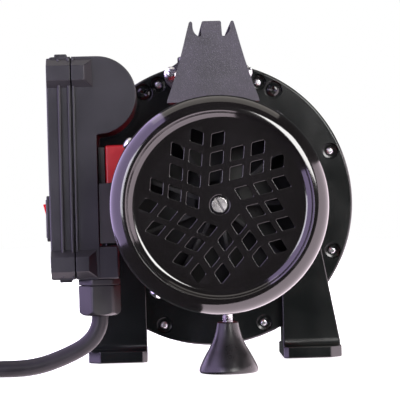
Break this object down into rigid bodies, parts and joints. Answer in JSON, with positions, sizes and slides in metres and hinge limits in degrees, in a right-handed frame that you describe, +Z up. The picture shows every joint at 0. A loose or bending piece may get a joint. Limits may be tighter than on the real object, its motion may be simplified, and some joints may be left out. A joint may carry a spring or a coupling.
{
  "type": "self-priming jet pump",
  "caption": "Electric surface pump: fan-cooled motor with vented cover, switch box, carrying handle and mains lead, on a jet wet end with threaded ports.",
  "frame": {"origin": "centre of the footprint of the pump without its lead, on the floor that the two cast feet and the rubber foot stand on", "axes": "+Z up; the shaft lies along Y, with the fan cover at -Y and the suction port at +Y; the switch box is at -X"},
  "size_m": [0.374, 0.335, 0.2039],
  "materials": {
    "gloss_black_paint": "gloss black paint over a casting",
    "cover_black_paint": "high gloss black enamel on pressed sheet",
    "red_paint": "satin red paint over cast aluminium",
    "dark_grey_plastic": "spark-eroded texture",
    "black_plastic": "satin",
    "red_plastic": "gloss",
    "white_plastic": "satin",
    "zinc_plate": "bright zinc plate",
    "bright_steel": "ground",
    "lamination_steel": "stacked laminations",
    "enamelled_copper": "enamelled winding wire",
    "cast_aluminium": "as cast",
    "brass": "machined",
    "ceramic": "lapped",
    "black_rubber": "matte"
  },
  "bodies": {
    "pump": {"pump_casing": "gloss_black_paint", "motor_bracket": "gloss_black_paint", "left_foot": "gloss_black_paint", "right_foot": "gloss_black_paint", "fan_cover": "cover_black_paint", "motor_frame": "red_paint", "handle": "dark_grey_plastic", "box_base": "dark_grey_plastic", "box_cover": "dark_grey_plastic", "box_spacer": "black_plastic", "switch_body": "black_plastic", "gland_body": "black_plastic", "gland_nut": "black_plastic", "diffuser": "black_plastic", "ejector_tube": "black_plastic", "coil_tie": "black_plastic", "capacitor": "white_plastic", "terminal_block": "white_plastic", "casing_screw_1": "zinc_plate", "casing_screw_2": "zinc_plate", "casing_screw_3": "zinc_plate", "casing_screw_4": "zinc_plate", "casing_screw_5": "zinc_plate", "casing_screw_6": "zinc_plate", "casing_screw_7": "zinc_plate", "casing_screw_8": "zinc_plate", "cover_screw_1": "zinc_plate", "cover_screw_2": "zinc_plate", "cover_screw_3": "zinc_plate", "cover_screw_4": "zinc_plate", "handle_screw_1": "zinc_plate", "handle_screw_2": "zinc_plate", "front_bearing": "bright_steel", "rear_bearing": "bright_steel", "wave_washer": "bright_steel", "stator_core": "lamination_steel", "stator_winding": "enamelled_copper", "rear_shield": "cast_aluminium", "ejector_nozzle": "brass", "seal_seat": "ceramic", "casing_seal": "black_rubber", "box_gasket": "black_rubber", "gland_seal": "black_rubber", "cable": "black_rubber", "cable_coil": "black_rubber", "plug": "black_rubber"},
    "rotor": {"shaft": "bright_steel", "rotor_core": "lamination_steel", "fan": "black_plastic", "impeller": "brass", "impeller_nut": "zinc_plate", "seal_head": "black_rubber"},
    "switch_rocker": {"switch_rocker": "red_plastic"},
    "filler_washer": {"filler_seal": "black_rubber"},
    "filler_cap": {"filler_plug": "black_plastic"},
    "drain_washer": {"drain_seal": "black_rubber"},
    "drain_cap": {"drain_plug": "black_plastic"},
    "adjustable_foot": {"rear_foot": "black_rubber", "foot_stud": "zinc_plate"}
  },
  "joints": [
    {"name": "rotor_spin", "type": "hinge", "parent": "pump", "child": "rotor", "pos_m": [0.0061, -0.0575, 0.0975], "axis": [0, 1, 0], "continuous": true},
    {"name": "rocker_tilt", "type": "hinge", "parent": "pump", "child": "switch_rocker", "pos_m": [-0.0909, -0.0705, 0.0915], "axis": [0, 1, 0], "range_deg": [0, 14.6]},
    {"name": "filler_lift", "type": "slide", "parent": "pump", "child": "filler_washer", "axis": [0, 0, 1], "range_m": [0, 0.014]},
    {"name": "filler_turn", "type": "hinge", "parent": "filler_washer", "child": "filler_cap", "pos_m": [0.0061, 0.0905, 0.1815], "axis": [0, 0, 1], "range_deg": [0, 2800]},
    {"name": "drain_draw", "type": "slide", "parent": "pump", "child": "drain_washer", "axis": [0, 1, 0], "range_m": [0, 0.012]},
    {"name": "drain_turn", "type": "hinge", "parent": "drain_washer", "child": "drain_cap", "pos_m": [0.0061, 0.1445, 0.0595], "axis": [0, 1, 0], "range_deg": [0, 3480]},
    {"name": "rear_foot_height", "type": "slide", "parent": "pump", "child": "adjustable_foot", "axis": [0, 0, -1], "range_m": [0, 0.006]}
  ],
  "couplings": [
    {"joint": "filler_turn", "follows": "filler_lift", "rad_per_m": 3463.7},
    {"joint": "drain_turn", "follows": "drain_draw", "rad_per_m": 5026.5}
  ]
}
